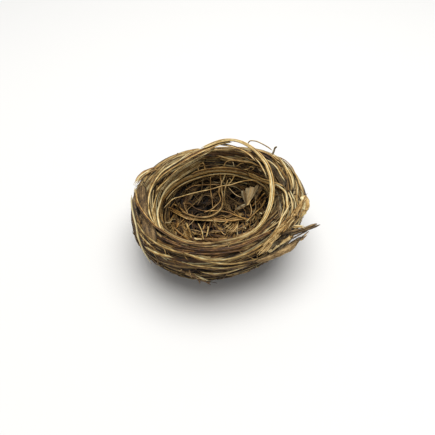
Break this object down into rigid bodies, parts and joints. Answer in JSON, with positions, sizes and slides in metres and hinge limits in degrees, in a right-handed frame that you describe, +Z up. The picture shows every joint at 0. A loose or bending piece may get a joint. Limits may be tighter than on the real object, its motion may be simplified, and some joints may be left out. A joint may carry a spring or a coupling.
{
  "type": "bird nest",
  "caption": "Empty cup-shaped bird nest woven of dry grass blades, bark strips and rootlets, with a loose hoop of blades on its rim.",
  "frame": {"origin": "middle of the flat patch under the nest that it rests on", "axes": "+Z up out of the cup, +X along the side where the torn tail of stems sticks out, -Y towards the front where the rim is lowest"},
  "size_m": [0.093, 0.0843, 0.0431],
  "materials": {
    "dry_grass": "matte",
    "pale_grass": "matte",
    "dark_grass": "matte",
    "bark_strip": "matte",
    "rootlet": "matte"
  },
  "bodies": {
    "root": {"woven_wall": "dry_grass", "hoop_left_blade": "dry_grass", "hoop_right_blade": "dry_grass", "hoop_back_blade": "dark_grass", "hoop_pale_blade": "pale_grass", "hoop_lower_blade": "pale_grass", "hoop_inner_straw": "dry_grass", "ring_middle_blade": "dry_grass", "ring_upper_blade": "dark_grass", "ring_lower_blade": "pale_grass", "left_rim_inner_blade": "dry_grass", "left_rim_middle_blade": "dry_grass", "left_rim_outer_blade": "pale_grass", "left_bark_strip": "bark_strip", "left_edge_blade": "pale_grass", "left_top_blade": "dry_grass", "back_upper_blade": "dry_grass", "back_lower_blade": "pale_grass", "right_dark_strip": "bark_strip", "right_thin_blade": "pale_grass", "right_tan_strip": "dry_grass", "right_edge_blade": "dry_grass", "right_pale_blade": "pale_grass", "right_inner_blade": "dry_grass", "right_grey_strip": "bark_strip", "right_slant_straw": "pale_grass", "torn_strip_upper": "dry_grass", "torn_strip_lower": "dry_grass", "tail_sheath_upper": "bark_strip", "front_bark_strip": "dark_grass", "front_upper_blade": "dry_grass", "front_long_blade": "pale_grass", "front_low_blade": "pale_grass", "front_left_blade": "dry_grass", "front_left_short_blade": "pale_grass", "front_left_low_blade": "dry_grass", "belly_upper_blade": "dry_grass", "belly_lower_blade": "dry_grass", "belly_tuft_blade": "pale_grass", "tail_stem_upper": "bark_strip", "tail_stem_lower": "bark_strip", "tail_straw": "pale_grass", "tail_stub": "dry_grass", "tail_sheath_lower": "bark_strip", "tail_flake": "pale_grass", "husk_scrap": "dry_grass", "curling_tendril": "rootlet", "curled_stub": "dark_grass", "left_flake": "dry_grass", "crossing_straw": "pale_grass", "looping_rootlet": "rootlet", "thin_rootlet": "rootlet", "floor_straw_left": "dry_grass", "floor_straw_right": "dry_grass", "leaf_fragment": "bark_strip"}
  },
  "joints": []
}
